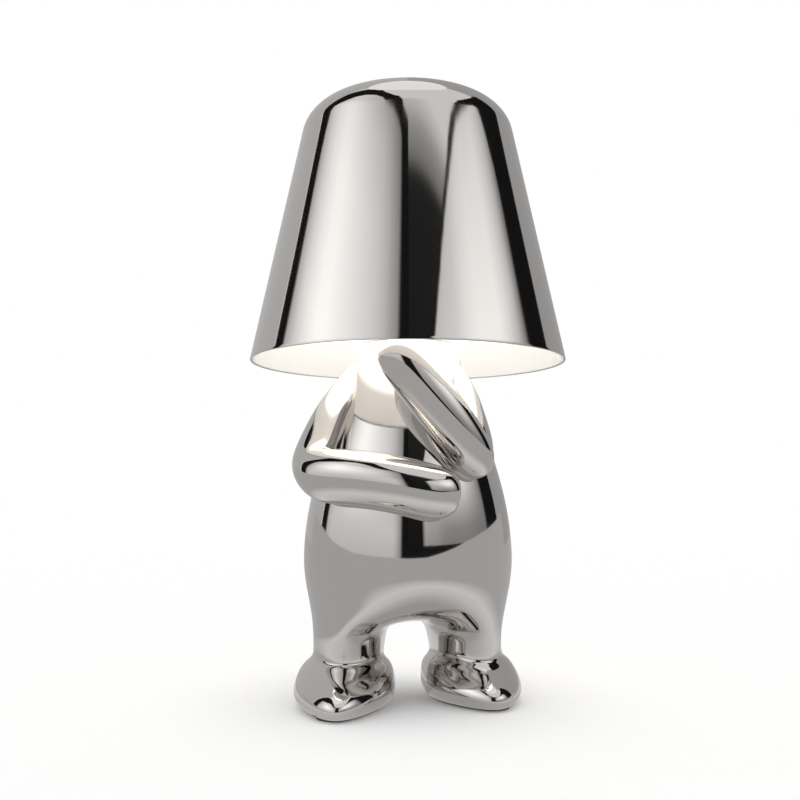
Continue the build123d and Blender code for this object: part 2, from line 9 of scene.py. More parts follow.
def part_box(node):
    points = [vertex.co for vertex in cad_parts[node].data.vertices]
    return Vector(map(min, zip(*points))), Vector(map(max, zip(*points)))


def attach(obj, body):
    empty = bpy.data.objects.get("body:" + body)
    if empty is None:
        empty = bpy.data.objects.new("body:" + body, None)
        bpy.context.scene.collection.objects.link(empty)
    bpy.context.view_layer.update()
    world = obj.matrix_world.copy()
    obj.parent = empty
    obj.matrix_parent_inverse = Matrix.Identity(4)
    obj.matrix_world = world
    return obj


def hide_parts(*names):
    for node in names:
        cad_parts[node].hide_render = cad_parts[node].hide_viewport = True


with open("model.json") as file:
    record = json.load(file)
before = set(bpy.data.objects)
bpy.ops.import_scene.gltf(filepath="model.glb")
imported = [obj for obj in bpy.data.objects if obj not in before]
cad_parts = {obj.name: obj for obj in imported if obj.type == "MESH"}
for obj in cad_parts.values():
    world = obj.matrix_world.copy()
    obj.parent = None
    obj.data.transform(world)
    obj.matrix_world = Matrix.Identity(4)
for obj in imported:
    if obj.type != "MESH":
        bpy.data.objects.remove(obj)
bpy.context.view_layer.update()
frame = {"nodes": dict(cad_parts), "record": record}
nodes = frame["nodes"]
mm = 0.001
scene = bpy.context.scene
grainDepth = 0.0002  # metres, for every bump
print("frame loaded with", len(nodes), "nodes")


# shader maths: one socket, written into sums
class Flow:
    def __init__(self, tree, socket=None):
        self.tree = tree
        self.socket = socket

    def node(self, kind, settings=None, links=None, out=0):
        made = self.tree.nodes.new(kind)
        for key, value in (settings or {}).items():
            if key == "stops":
                marks = made.color_ramp.elements
                while len(marks) < len(value):
                    marks.new(0.5)
                for mark, (place, colour) in zip(marks, value):
                    mark.position = place
                    mark.color = (*colour, 1)
            else:
                setattr(made, key, value)
        for key, value in (links or {}).items():
            if isinstance(value, Flow):
                self.tree.links.new(value.socket, made.inputs[key])
            else:
                made.inputs[key].default_value = value
        return Flow(self.tree, made.outputs[out])

    def maths(self, operation, first, second):
        return self.node("ShaderNodeMath", {"operation": operation}, {0: first, 1: second})

    def __add__(self, other):
        return self.maths("ADD", self, other)

    def __mul__(self, other):
        return self.maths("MULTIPLY", self, other)

    def __sub__(self, other):
        return self.maths("SUBTRACT", self, other)


def newMaterial(name):
    material = bpy.data.materials.new(name)
    material.use_nodes = True
    tree = material.node_tree
    return material, Flow(tree), tree.nodes["Principled BSDF"]


def feed(flow, shader, **sockets):
    for name, value in sockets.items():
        socket = shader.inputs[name.replace("_", " ")]
        if isinstance(value, Flow):
            flow.tree.links.new(value.socket, socket)
        else:
            socket.default_value = value


def objectPlace(flow):
    return flow.node("ShaderNodeTexCoord", out="Object")


def noise(flow, place, scale, detail):
    return flow.node("ShaderNodeTexNoise", None, {"Vector": place, "Scale": scale, "Detail": detail})


def span(flow, value, low, high):
    # where a value lies between two limits, from 0 to 1
    return flow.node("ShaderNodeMapRange", None, {0: value, "From Min": low, "From Max": high})


def grainBump(flow, height, strength):
    return flow.node("ShaderNodeBump", None, {"Strength": strength, "Distance": grainDepth, "Height": height})


def grey(tone):
    return (tone, tone, tone)


# camera, worked out from where the rim, the crown and the feet lie in the photograph
view = {
    "azimuth": -12.0,
    "distance": 520.0,
    "height": 99.0,
    "focalPixels": 1024.0,
    "horizonRow": 496.4,
    "axisColumn": 407.7,
    "framePixels": 800.0,
    "sensor": 36.0,
    "nearClip": 0.01,
}


def placeCamera():
    half = view["framePixels"] / 2
    turn = math.radians(view["azimuth"])
    camera = bpy.data.cameras.new("camera")
    camera.sensor_width = view["sensor"]
    camera.lens = view["focalPixels"] / view["framePixels"] * view["sensor"]
    camera.clip_start = view["nearClip"]
    holder = bpy.data.objects.new("camera", camera)
    holder.location = Vector((math.sin(turn), -math.cos(turn), 0)) * view["distance"] * mm
    holder.location.z = view["height"] * mm
    pitch = math.atan((view["horizonRow"] - half) / view["focalPixels"])
    yaw = math.atan((view["axisColumn"] - half) / view["focalPixels"])
    holder.rotation_euler = (math.pi / 2 + pitch, 0, turn + yaw)
    scene.collection.objects.link(holder)
    scene.camera = holder


placeCamera()
scene.view_settings.view_transform = "Standard"
print("camera placed")


# mesh helpers
mesher = {"weld": 0.002, "sharpAngle": 40.0, "roundProfile": 0.5}


def newPiece(name, bm, material):
    bmesh.ops.remove_doubles(bm, verts=bm.verts, dist=mesher["weld"] * mm)
    bmesh.ops.recalc_face_normals(bm, faces=bm.faces)
    mesh = bpy.data.meshes.new(name)
    bm.to_mesh(mesh)
    bm.free()
    for polygon in mesh.polygons:
        polygon.use_smooth = True
    mesh.materials.append(material)
    piece = bpy.data.objects.new(name, mesh)
    scene.collection.objects.link(piece)
    return piece


def softened(piece, levels):
    modifier = piece.modifiers.new("subdivision", "SUBSURF")
    modifier.levels = levels
    modifier.render_levels = levels
    return piece


def settled(piece):
    # the piece's modifiers become its plain mesh, with edges sharp where cuts made them so
    shown = piece.evaluated_get(bpy.context.evaluated_depsgraph_get())
    mesh = bpy.data.meshes.new_from_object(shown)
    mesh.name = piece.name
    piece.modifiers.clear()
    piece.data = mesh
    mesh.set_sharp_from_angle(angle=math.radians(mesher["sharpAngle"]))
    return piece


def cut(piece, tool, operation):
    modifier = piece.modifiers.new("cut", "BOOLEAN")
    modifier.operation = operation
    modifier.solver = "EXACT"
    modifier.object = tool
    settled(piece)
    bpy.data.objects.remove(tool)
    return piece


def joined(piece, body, node):
    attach(piece, body)
    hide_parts(node)


def lathe(name, outline, rounds, steps, material):
    # outline points are radius and height; rounds gives a point its bevel reach and segments
    bm = bmesh.new()
    points = [bm.verts.new((radius * mm, 0, height * mm)) for radius, height in outline]
    for first, second in zip(points, points[1:]):
        bm.edges.new((first, second))
    for index, (reach, segments) in rounds.items():
        bmesh.ops.bevel(
            bm, geom=[points[index]], offset=reach * mm, offset_type="OFFSET", segments=segments,
            profile=mesher["roundProfile"], affect="VERTICES", material=-1,
        )
    bmesh.ops.spin(
        bm, geom=bm.verts[:] + bm.edges[:], cent=(0, 0, 0), axis=(0, 0, 1), angle=math.tau,
        steps=steps, use_merge=True,
    )
    return newPiece(name, bm, material)


def ring(bm, segments, radius, matrix):
    # one closed loop, grown so that its subdivided form has the stated radius
    swell = 6 / (4 + 2 * math.cos(math.tau / segments))
    made = bmesh.ops.create_circle(
        bm, cap_ends=False, segments=segments, radius=radius * swell, matrix=matrix,
    )
    loop = set()
    for vertex in made["verts"]:
        loop.update(vertex.link_edges)
    return list(loop)


def bridged(bm, loops):
    for first, second in zip(loops, loops[1:]):
        bmesh.ops.bridge_loops(bm, edges=first + second)


def capped(bm, loop, matrix, share):
    # closes a loop with a smaller inner loop and one face
    inner = bmesh.ops.extrude_edge_only(bm, edges=loop)["geom"]
    verts = [item for item in inner if isinstance(item, bmesh.types.BMVert)]
    edges = [item for item in inner if isinstance(item, bmesh.types.BMEdge)]
    bmesh.ops.scale(bm, vec=(share, share, share), space=matrix.inverted(), verts=verts)
    bmesh.ops.contextual_create(bm, geom=edges)


def placed(x, y, z, turn=0.0, long=1.0):
    return (
        Matrix.Translation(Vector((x, y, z)) * mm)
        @ Matrix.Rotation(math.radians(turn), 4, "Z")
        @ Matrix.Diagonal((1, long, 1, 1))
    )


def rearPrism(bm, z, wide, tall, corner, near, far):
    # a bar with rounded corners that runs along y through the middle of the back
    made = bmesh.ops.create_grid(bm, x_segments=1, y_segments=1, size=0.5)["verts"]
    bmesh.ops.rotate(bm, verts=made, matrix=Matrix.Rotation(math.pi / 2, 3, "X"))
    bmesh.ops.scale(bm, vec=Vector((wide, 1, tall)) * mm, verts=made)
    bmesh.ops.translate(bm, vec=Vector((0, near, z)) * mm, verts=made)
    rounded = bmesh.ops.bevel(
        bm, geom=made, offset=corner * mm, offset_type="OFFSET", segments=cover["cornerSteps"],
        profile=mesher["roundProfile"], affect="VERTICES", material=-1,
    )
    faces = {face for vertex in rounded["verts"] for face in vertex.link_faces}
    bar = bmesh.ops.extrude_face_region(bm, geom=list(faces), use_keep_orig=True)["geom"]
    moved = [item for item in bar if isinstance(item, bmesh.types.BMVert)]
    bmesh.ops.translate(bm, vec=Vector((0, far - near, 0)) * mm, verts=moved)


# finishes: the two main ones have their own functions, the others share one
# haze, smear and speck are scale and detail of a noise
plating = {
    "tint": (0.66, 0.635, 0.615), "deeper": 0.97, "low": 0.035, "high": 0.075,
    "haze": (38.0, 4.0), "smear": (9.0, 2.0),
}


def makePlating():
    material, flow, shader = newMaterial("brightPlating")
    place = objectPlace(flow)
    haze = noise(flow, place, *plating["haze"])
    smear = noise(flow, place, *plating["smear"])
    roughness = haze * smear * (plating["high"] - plating["low"]) * 2 + plating["low"]
    deeper = [plating["deeper"] * channel for channel in plating["tint"]]
    tint = flow.node(
        "ShaderNodeMix", {"data_type": "RGBA"}, {0: smear, 6: (*plating["tint"], 1), 7: (*deeper, 1)}, out=2,
    )
    feed(flow, shader, Base_Color=tint, Roughness=roughness, Metallic=1.0)
    return material


# light is its painted glow colour from the rim up, standing in for the light head's light on it, roughness its
# least value and its spread
liner = {
    "tint": (0.93, 0.92, 0.9), "roughness": (0.38, 0.15), "speck": (900.0, 2.0), "bump": 0.05,
    "low": 0.167, "high": 0.3, "glow": 1.0,
    "light": [(0.12, grey(0.02)), (0.15, (1.0, 0.985, 0.96)), (1.0, (0.8, 0.75, 0.68))],
}


def makeWhiteLiner():
    # painted light: the liner glows as if lit by the light head, which stands high up, so the band next to the rim
    # hardly glows and is painted in shade, and the glow dims towards the crown
    material, flow, shader = newMaterial("whiteLiner")
    place = objectPlace(flow)
    speck = noise(flow, place, *liner["speck"])
    height = flow.node("ShaderNodeSeparateXYZ", None, {0: place}, out=2)
    rise = span(flow, height, liner["low"], liner["high"])
    light = flow.node("ShaderNodeValToRGB", {"stops": liner["light"]}, {0: rise})
    least, spread = liner["roughness"]
    feed(
        flow, shader, Base_Color=(*liner["tint"], 1), Roughness=speck * spread + least,
        Normal=grainBump(flow, speck, liner["bump"]), Emission_Color=light, Emission_Strength=liner["glow"],
    )
    return material


# dark and light tint, roughness range, metal, grain scale, how far the grain is drawn out, bump
finishes = {
    "shade_white": ((0.86, 0.85, 0.83), (0.94, 0.93, 0.91), (0.36, 0.52), 0.0, 700.0, (1, 1, 1), 0.08),
    "opal_plastic": ((0.5, 0.49, 0.46), (0.58, 0.57, 0.54), (0.3, 0.42), 0.0, 500.0, (1, 1, 1), 0.04),
    "bright_steel": ((0.52, 0.52, 0.53), (0.66, 0.66, 0.67), (0.22, 0.4), 1.0, 420.0, (1, 1, 6), 0.06),
    "pipe_brass": ((0.6, 0.45, 0.22), (0.76, 0.61, 0.35), (0.2, 0.38), 1.0, 300.0, (1, 1, 8), 0.08),
    "sink_aluminium": ((0.64, 0.65, 0.67), (0.76, 0.77, 0.79), (0.3, 0.48), 1.0, 350.0, (6, 1, 1), 0.07),
    "led_board_white": ((0.82, 0.82, 0.8), (0.91, 0.91, 0.89), (0.35, 0.5), 0.0, 600.0, (1, 1, 1), 0.03),
    "led_phosphor": ((0.9, 0.7, 0.2), (0.97, 0.86, 0.42), (0.3, 0.45), 0.0, 1500.0, (1, 1, 1), 0.05),
    "board_green": ((0.015, 0.12, 0.05), (0.05, 0.24, 0.12), (0.3, 0.45), 0.0, 420.0, (1, 1, 4), 0.05),
    "chip_black": ((0.018, 0.018, 0.02), (0.045, 0.045, 0.05), (0.4, 0.6), 0.0, 900.0, (1, 1, 1), 0.06),
    "clear_plastic": ((0.78, 0.8, 0.8), (0.9, 0.92, 0.91), (0.05, 0.15), 0.0, 500.0, (1, 1, 1), 0.02),
    "cell_sleeve": ((0.035, 0.17, 0.34), (0.06, 0.26, 0.48), (0.25, 0.4), 0.0, 260.0, (1, 1, 0.2), 0.05),
    "tray_plastic": ((0.04, 0.04, 0.044), (0.075, 0.075, 0.08), (0.45, 0.65), 0.0, 800.0, (1, 1, 1), 0.1),
    "wire_red": ((0.45, 0.02, 0.02), (0.62, 0.04, 0.04), (0.35, 0.5), 0.0, 600.0, (1, 1, 1), 0.04),
    "wire_white": ((0.74, 0.74, 0.72), (0.88, 0.88, 0.86), (0.35, 0.5), 0.0, 600.0, (1, 1, 1), 0.04),
    "sole_rubber": ((0.03, 0.03, 0.03), (0.07, 0.07, 0.07), (0.7, 0.9), 0.0, 1100.0, (1, 1, 1), 0.2),
}
# what the finishes share: how grain and cloud mix, where the two tints lie, and how much coarser the cloud is
mixing = {
    "grainDetail": 3.0, "cloudDetail": 2.0, "grainShare": 0.6, "cloudShare": 0.4,
    "dark": 0.3, "light": 0.7, "coarser": 20,
}
# what only one finish has
extras = {
    "opal_plastic": {"Emission_Color": (1.0, 0.86, 0.66, 1), "Emission_Strength": 0.32},
    "clear_plastic": {"Transmission_Weight": 0.8},
}


def makeFinish(name, dark, light, roughness, metallic, scale, drawn, bump):
    material, flow, shader = newMaterial(name)
    place = objectPlace(flow)
    stretched = flow.node("ShaderNodeMapping", None, {"Vector": place, "Scale": drawn})
    grain = noise(flow, stretched, scale, mixing["grainDetail"])
    cloud = noise(flow, place, scale / mixing["coarser"], mixing["cloudDetail"])
    stops = [(mixing["dark"], dark), (mixing["light"], light)]
    mixed = grain * mixing["grainShare"] + cloud * mixing["cloudShare"]
    tint = flow.node("ShaderNodeValToRGB", {"stops": stops}, {0: mixed})
    low, high = roughness
    feed(
        flow, shader, Base_Color=tint, Roughness=cloud * (high - low) + low, Normal=grainBump(flow, grain, bump),
        Metallic=metallic, **extras.get(name, {}),
    )
    return material


brightPlating = makePlating()
whiteLiner = makeWhiteLiner()
finishFor = {slot: makeFinish(slot, *values) for slot, values in finishes.items()}
finishFor["bright_plating"] = brightPlating
for subpart in frame["record"]["subparts"]:
    mesh = nodes[subpart["node"]].data
    mesh.materials.clear()
    mesh.materials.append(finishFor[subpart["material_slot"]])
print("finishes made")

# shade: a plated shell with a rolled lip, and a white liner inside it
shadeLow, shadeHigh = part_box("shade_shell")
shade = {
    "rimRadius": shadeHigh.x / mm, "rimHeight": shadeLow.z / mm, "crownRadius": 51.2, "top": shadeHigh.z / mm,
    "wall": 0.9, "shoulderReach": 16.0, "shoulderSteps": 20, "lip": (0.4, 3), "steps": 160,
    "linerSetback": 0.4, "linerInset": 1.0, "linerWall": 1.2, "linerLip": (0.2, 2),
    # the height of a narrow band at either end of the wall, which keeps its shading straight
    "guard": 1.5,
}


def shadeOutline(inset, wall, rise):
    lean = (shade["rimRadius"] - shade["crownRadius"]) / (shade["top"] - shade["rimHeight"])
    slant = math.hypot(1, lean)
    top = shade["top"] - inset
    base = shade["rimHeight"] + rise
    under = top - wall

    def wallAt(height, depth):
        return shade["rimRadius"] - lean * (height - shade["rimHeight"]) - depth * slant

    guard = shade["guard"]
    shoulder = top - shade["shoulderReach"] - guard
    return [
        (0, top),
        (wallAt(top, inset), top),
        (wallAt(shoulder, inset), shoulder),
        (wallAt(base + guard, inset), base + guard),
        (wallAt(base, inset), base),
        (wallAt(base, inset + wall), base),
        (wallAt(under, inset + wall), under),
        (0, under),
    ]


def makeShade():
    reach = shade["shoulderReach"]
    segments = shade["shoulderSteps"]
    lip = shade["lip"]
    shell = lathe(
        "shadeShell", shadeOutline(0, shade["wall"], 0),
        {1: (reach, segments), 4: lip, 5: lip, 6: (reach - shade["wall"], segments)},
        shade["steps"], brightPlating,
    )
    inset = shade["linerInset"]
    edge = shade["linerLip"]
    lining = lathe(
        "shadeLiner", shadeOutline(inset, shade["linerWall"], shade["linerSetback"]),
        {1: (reach - inset, segments), 4: edge, 5: edge, 6: (reach - inset - shade["linerWall"], segments)},
        shade["steps"], whiteLiner,
    )
    joined(shell, "shade", "shade_shell")
    joined(lining, "shade", "shade_liner")


makeShade()
print("shade made")

# figure: torso rings that part at the crotch into two legs, each running down into a foot
figure = {
    "torsoSides": 16,
    "legSides": 12,
    "levels": 3,
    # height and radius of each torso ring, from the neck down
    "torso": [
        (176.0, 24.4), (172.0, 25.6), (160.0, 29.2), (144.0, 34.45), (128.0, 40.1), (112.0, 45.35),
        (96.0, 49.4), (80.0, 51.75), (64.0, 52.3), (51.0, 50.5),
    ],
    # y and height of the points between the legs, from front to back
    "crotch": [(-30.0, 39.8), (0.0, 38.0), (28.0, 39.5)],
    # leg and foot rings: height, toe share of the reach, how far the ring runs to toe, heel and side, toe taper
    "legs": [
        (38.0, 0.0, 35.6, 28.0, 18.9, 0.22), (30.0, 0.0, 33.0, 24.0, 17.9, 0.22),
        (25.0, 0.0, 31.6, 21.0, 17.4, 0.2), (22.2, 0.0, 31.0, 19.8, 17.5, 0.18),
        (20.6, 0.0, 31.2, 19.5, 18.8, 0.16), (19.2, 0.25, 24.0, 19.5, 20.8, 0.18),
        (16.4, 1.0, 0.5, 19.8, 23.0, 0.25), (12.0, 1.0, 10.0, 20.5, 24.4, 0.35),
        (6.5, 1.0, 15.4, 20.8, 24.8, 0.35), (2.4, 1.0, 14.2, 19.6, 22.4, 0.35),
        (0.6, 1.0, 10.8, 16.8, 18.2, 0.35),
    ],
    # the size of the last inner loop at the neck and under a foot
    "neckCap": 0.96,
    "soleCap": 0.6,
    # how often and how much the groin is smoothed, between which heights, and how far these close in each time
    "smoothing": {"times": 24, "factor": 0.5, "low": 22.0, "high": 66.0, "creep": 0.7},
    # how far both legs stand to one side, how far each is from the middle at the floor, and how it leans in upward
    "legShift": -0.7,
    "legOffset": 30.0,
    "legLean": 0.05,
    # side, splay and toe reach of each foot
    "feet": [(-1, 14.0, 44.0), (1, 4.0, 34.0)],
}


def makeLeg(bm, side, splay, toeReach, openEdges):
    turn = side * splay
    swing = math.radians(turn)
    loops = []
    for height, share, toe, heel, wide, taper in figure["legs"]:
        front = share * toeReach + toe
        centre = (front - heel) / 2
        offset = figure["legShift"] + side * (figure["legOffset"] - figure["legLean"] * height)
        x = offset + centre * math.sin(swing)
        y = -centre * math.cos(swing)
        place = placed(x, y, height, turn, long=(front + heel) / 2 / wide)
        loop = ring(bm, figure["legSides"], wide * mm, place)
        for vertex in {vertex for edge in loop for vertex in edge.verts}:
            local = place.inverted() @ vertex.co
            local.x *= 1 - taper * max(0, -local.y / (wide * mm))  # the toe is at the local -y end
            vertex.co = place @ local
        loops.append(loop)
    bmesh.ops.bridge_loops(bm, edges=openEdges + loops[0])
    bridged(bm, loops)
    capped(bm, loops[-1], place, figure["soleCap"])


def smoothGroin(mesh):
    smoothing = figure["smoothing"]
    bm = bmesh.new()
    bm.from_mesh(mesh)
    for count in range(smoothing["times"]):
        low = smoothing["low"] + count * smoothing["creep"]
        high = smoothing["high"] - count * smoothing["creep"]
        groin = [vertex for vertex in bm.verts if low < vertex.co.z / mm < high]
        bmesh.ops.smooth_vert(
            bm, verts=groin, factor=smoothing["factor"], use_axis_x=True, use_axis_y=True, use_axis_z=True,
        )
    bm.to_mesh(mesh)
    bm.free()


def makeFigure():
    bm = bmesh.new()
    sides = figure["torsoSides"]
    loops = [ring(bm, sides, radius * mm, placed(0, 0, height)) for height, radius in figure["torso"]]
    bridged(bm, loops)
    capped(bm, loops[0], placed(0, 0, figure["torso"][0][0]), figure["neckCap"])
    waist = {vertex for edge in loops[-1] for vertex in edge.verts}
    front = min(waist, key=lambda vertex: vertex.co.y)
    back = max(waist, key=lambda vertex: vertex.co.y)
    chain = [front] + [bm.verts.new((0, y * mm, z * mm)) for y, z in figure["crotch"]] + [back]
    seam = [bm.edges.new(pair) for pair in zip(chain, chain[1:])]
    for side, splay, toeReach in figure["feet"]:
        half = [edge for edge in loops[-1] if side * sum(vertex.co.x for vertex in edge.verts) > 0]
        makeLeg(bm, side, splay, toeReach, half + seam)
    body = settled(softened(newPiece("figureBody", bm, brightPlating), figure["levels"]))
    smoothGroin(body.data)
    return body


# rear cover: a piece of the same skin in a pocket, with holes for what shows through it
coverLow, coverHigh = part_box("rear_cover")
cover = {
    "gap": 0.3, "corner": 12.0, "cornerSteps": 8, "pocket": 24.0, "inner": 40.0, "outer": 70.0,
    "screwHead": 2.6, "button": 5.0,
    # a hole's corners take up a little less than half its smaller side, so that they don't meet
    "holeCorner": 0.498,
}


def throughHoles():
    bm = bmesh.new()

    def hole(z, wide, tall):
        wide += 2 * cover["gap"]
        tall += 2 * cover["gap"]
        corner = min(wide, tall) * cover["holeCorner"]
        rearPrism(bm, z, wide, tall, corner, cover["pocket"], cover["outer"])

    for node in ("usb_socket", "light_pipe"):
        low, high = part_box(node)
        size = (high - low) / mm
        hole((low.z + high.z) / 2 / mm, size.x, size.z)
    low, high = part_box("power_button")
    hole((low.z + high.z) / 2 / mm, 2 * cover["button"], 2 * cover["button"])
    low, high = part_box("cover_screws")
    head = cover["screwHead"]
    for z in (low.z / mm + head, high.z / mm - head):
        hole(z, 2 * head, 2 * head)
    return newPiece("holes", bm, brightPlating)


def coverBlock(name, margin, near):
    bm = bmesh.new()
    size = (coverHigh - coverLow) / mm
    rearPrism(
        bm, (coverLow.z + coverHigh.z) / 2 / mm, size.x + 2 * margin, size.z + 2 * margin,
        cover["corner"] + margin, near, cover["outer"],
    )
    return newPiece(name, bm, brightPlating)


def makeCover(body):
    panel = bpy.data.objects.new("rearPanel", body.data.copy())
    scene.collection.objects.link(panel)
    cut(panel, coverBlock("panelBlock", 0, cover["inner"]), "INTERSECT")
    cut(panel, throughHoles(), "DIFFERENCE")
    cut(body, coverBlock("pocketBlock", cover["gap"], cover["pocket"]), "DIFFERENCE")
    joined(panel, "figure", "rear_cover")
    joined(body, "figure", "body_shell")


makeCover(makeFigure())
print("figure made")

# arms: round limbs through centres given as x, y, z and radius
arms = {
    "sides": 10,
    "levels": 3,
    "endCap": 0.4,
    "crossed": [[
        (-20.9, 2.4, 164.0, 7.5), (-25.7, -0.7, 156.0, 9.2), (-33.1, -4.2, 146.0, 10.0),
        (-39.2, -6.5, 136.0, 11.0), (-44.4, -9.8, 123.5, 12.2), (-48.6, -14.8, 112.6, 13.2),
        (-46.2, -24.4, 108.4, 13.2), (-38.3, -35.8, 108.3, 12.9), (-27.0, -45.4, 107.0, 12.7),
        (-13.7, -51.8, 104.5, 12.6), (-2.3, -54.2, 101.5, 12.6), (5.3, -54.3, 100.0, 12.0),
        (11.1, -53.5, 99.2, 8.4),
    ]],
    "raised": [
        [
            (14.0, -6.1, 168.0, 7.0), (18.4, -12.1, 157.0, 9.9), (21.6, -18.4, 146.0, 10.8),
            (22.6, -24.2, 136.0, 11.2), (23.5, -32.6, 124.0, 11.6), (23.2, -37.6, 116.0, 10.6),
            (22.9, -39.1, 110.5, 6.8),
        ],
        [
            (27.3, -37.5, 110.5, 6.4), (24.0, -40.9, 116.0, 10.9), (16.6, -44.4, 125.5, 11.6),
            (6.9, -46.4, 138.0, 11.7), (-3.6, -47.0, 151.5, 11.7), (-12.6, -46.8, 163.0, 11.5),
            (-16.6, -46.4, 168.2, 9.8), (-18.9, -46.1, 171.2, 6.2),
        ],
    ],
}


def limb(bm, centres):
    points = [Vector(centre[:3]) * mm for centre in centres]
    loops = []
    places = []
    for index, point in enumerate(points):
        before = points[max(index - 1, 0)]
        after = points[min(index + 1, len(points) - 1)]
        aim = (after - before).to_track_quat("Z", "X").to_matrix().to_4x4()
        place = Matrix.Translation(point) @ aim
        places.append(place)
        loops.append(ring(bm, arms["sides"], centres[index][3] * mm, place))
    bridged(bm, loops)
    for end in (0, -1):
        capped(bm, loops[end], places[end], arms["endCap"])


def makeArm(name, limbs, node):
    bm = bmesh.new()
    for centres in limbs:
        limb(bm, centres)
    arm = softened(newPiece(name, bm, brightPlating), arms["levels"])
    joined(arm, "figure", node)


makeArm("crossedArm", arms["crossed"], "crossed_arm")
makeArm("raisedArm", arms["raised"], "raised_arm")
print("arms made")

# stage: a white floor and surround, and what only glossy faces see: walls, lit panels, ceiling, table cloth
cards = {"steps": 96, "discSteps": 64}
floor = {"size": 30.0, "tone": 1.0, "grain": (60.0, 3.0), "roughness": (0.85, 0.1)}
ceiling = {"radius": 1.5, "height": 4.1, "tone": 1.1}
# first and last azimuth from the camera, radius, top, how far the tones dip to either side, and the tones upward
walls = {
    "frontWall": (
        -112.0, 105.0, 1.5, 4.1, 0.53,
        [(0.0, 0.01), (0.372, 0.02), (0.38, 0.06), (0.387, 0.2), (0.396, 0.28), (0.408, 0.35), (0.418, 0.44),
         (0.43, 0.64), (0.45, 0.84)],
    ),
    "rightWall": (105.0, 180.0, 1.5, 4.1, 0.0, [(0.0, 0.4), (1.0, 0.45)]),
    "leftWall": (180.0, 248.0, 1.5, 4.1, 0.0, [(0.0, 0.55), (1.0, 0.57)]),
    "skirt": (-2.0, 80.0, 1.19, 0.17, 0.0, [(0.0, 0.01), (1.0, 0.01)]),
}
# a lit field on a black card: field is its first and last azimuth from the camera, crest and rim are the tops of
# field and card as azimuth and height; tones run from left to right, above and low down, and from the floor up
panels = {
    "leftPanel": {
        "field": (-101.8, -5.4), "edge": 0.05, "crisp": 5.0, "strength": 1.55, "tall": 1.44,
        "crest": [
            (-101.5, 0.99), (-99.6, 1.086), (-96.5, 1.16), (-93.0, 1.25), (-89.0, 1.36), (-83.5, 1.5),
            (-74.0, 1.84), (-61.5, 2.02), (-50.0, 1.95), (-41.6, 1.81), (-34.0, 1.6), (-26.6, 1.445),
            (-16.0, 1.436), (-9.6, 1.408), (-5.5, 1.36),
        ],
        "rim": [
            (-110.3, 2.1), (-105.0, 2.6), (-95.0, 3.3), (-80.0, 3.5), (-49.0, 3.3), (-35.0, 2.5), (-17.9, 1.747),
            (-5.0, 1.45), (0.8, 1.41),
        ],
        "across": [
            (0.0, 0.3), (0.12, 0.62), (0.216, 0.8), (0.31, 0.92), (0.39, 0.93), (0.475, 0.86), (0.636, 0.715),
            (0.79, 0.57), (0.87, 0.45), (0.94, 0.3), (1.0, 0.2),
        ],
        "acrossLow": [(0.0, 0.6), (0.1, 0.78), (0.9, 0.78), (0.95, 0.55), (1.0, 0.2)],
        "upward": [(0.0, 0.52), (0.24, 0.68), (0.55, 1.05), (0.78, 0.95), (0.92, 0.8), (1.0, 0.64)],
    },
    "rightPanel": {
        "field": (15.5, 98.2), "edge": 0.07, "crisp": 3.0, "strength": 1.45, "tall": 1.315,
        "crest": [
            (15.5, 0.8), (19.3, 0.886), (24.3, 0.99), (29.8, 1.088), (36.4, 1.174), (43.0, 1.234), (50.5, 1.289),
            (56.0, 1.31), (63.5, 1.303), (73.0, 1.278), (82.0, 1.26), (87.5, 1.198), (89.8, 1.167), (92.7, 1.109),
            (95.6, 1.03), (97.3, 0.941), (98.5, 0.814),
        ],
        "rim": [
            (13.5, 0.87), (17.3, 0.9), (22.0, 1.0), (27.3, 1.1), (34.0, 1.182), (39.8, 1.245), (45.0, 1.304),
            (50.4, 1.335), (56.7, 1.34), (69.1, 1.445), (85.0, 1.65), (110.0, 1.85), (118.5, 1.75),
        ],
        "across": [
            (0.0, 0.5), (0.25, 0.64), (0.357, 0.8), (0.466, 0.88), (0.683, 0.87), (0.786, 0.7), (0.877, 0.5),
            (0.96, 0.2), (1.0, 0.1),
        ],
        "acrossLow": [(0.0, 0.62), (0.1, 0.56), (0.19, 0.52), (0.28, 0.43), (0.38, 0.39), (0.6, 0.4), (1.0, 0.3)],
        "upward": [(0.1, 0.45), (0.38, 0.75), (0.6, 1.05), (0.85, 0.85), (1.0, 0.7)],
    },
}
# what the panels share: low and high are where the lower tones begin and end to give way to the upper ones
panelCard = {"radius": 1.2, "tallest": 4.0, "black": 0.006, "low": 0.3, "high": 0.7}
# the table cloth sweeps up round the object: azimuth from the camera and height of its edge
sweep = {
    "radius": 1.18,
    "tone": 0.5,
    "edge": [
        (-130.0, 0.22), (-105.0, 0.2), (-87.0, 0.15), (-60.0, 0.09), (-40.0, 0.07), (0.0, 0.05), (20.0, 0.06),
        (40.0, 0.11), (66.0, 0.18), (87.0, 0.21), (105.0, 0.22), (130.0, 0.22),
    ],
}
cloth = {
    "outline": [(10.0, 1.0), (300.0, 1.0), (1500.0, 70.0)], "outer": 1.5,
    # the tones run dark near the object's middle, a painted shadow of the object on the floor as glossy faces see
    # it, and are lightest in a ring about 130 mm out
    "tones": [(0.03, 0.44), (0.058, 0.7), (0.085, 0.8), (0.14, 0.5)],
}


def toneRamp(flow, along, low, high, tones):
    stops = [(spot, grey(tone)) for spot, tone in tones]
    return flow.node("ShaderNodeValToRGB", {"stops": stops}, {0: span(flow, along, low, high)})


def glowing(flow, shader, tint, strength):
    feed(
        flow, shader, Base_Color=(0, 0, 0, 1), Roughness=1.0, Specular_IOR_Level=0.0, Emission_Color=tint,
        Emission_Strength=strength,
    )


def azimuthAndHeight(flow):
    # of a point on a card that stands round the object
    place = objectPlace(flow)
    x, y, z = (flow.node("ShaderNodeSeparateXYZ", None, {0: place}, out=axis) for axis in range(3))
    return flow.maths("ARCTAN2", x, y * -1.0), z


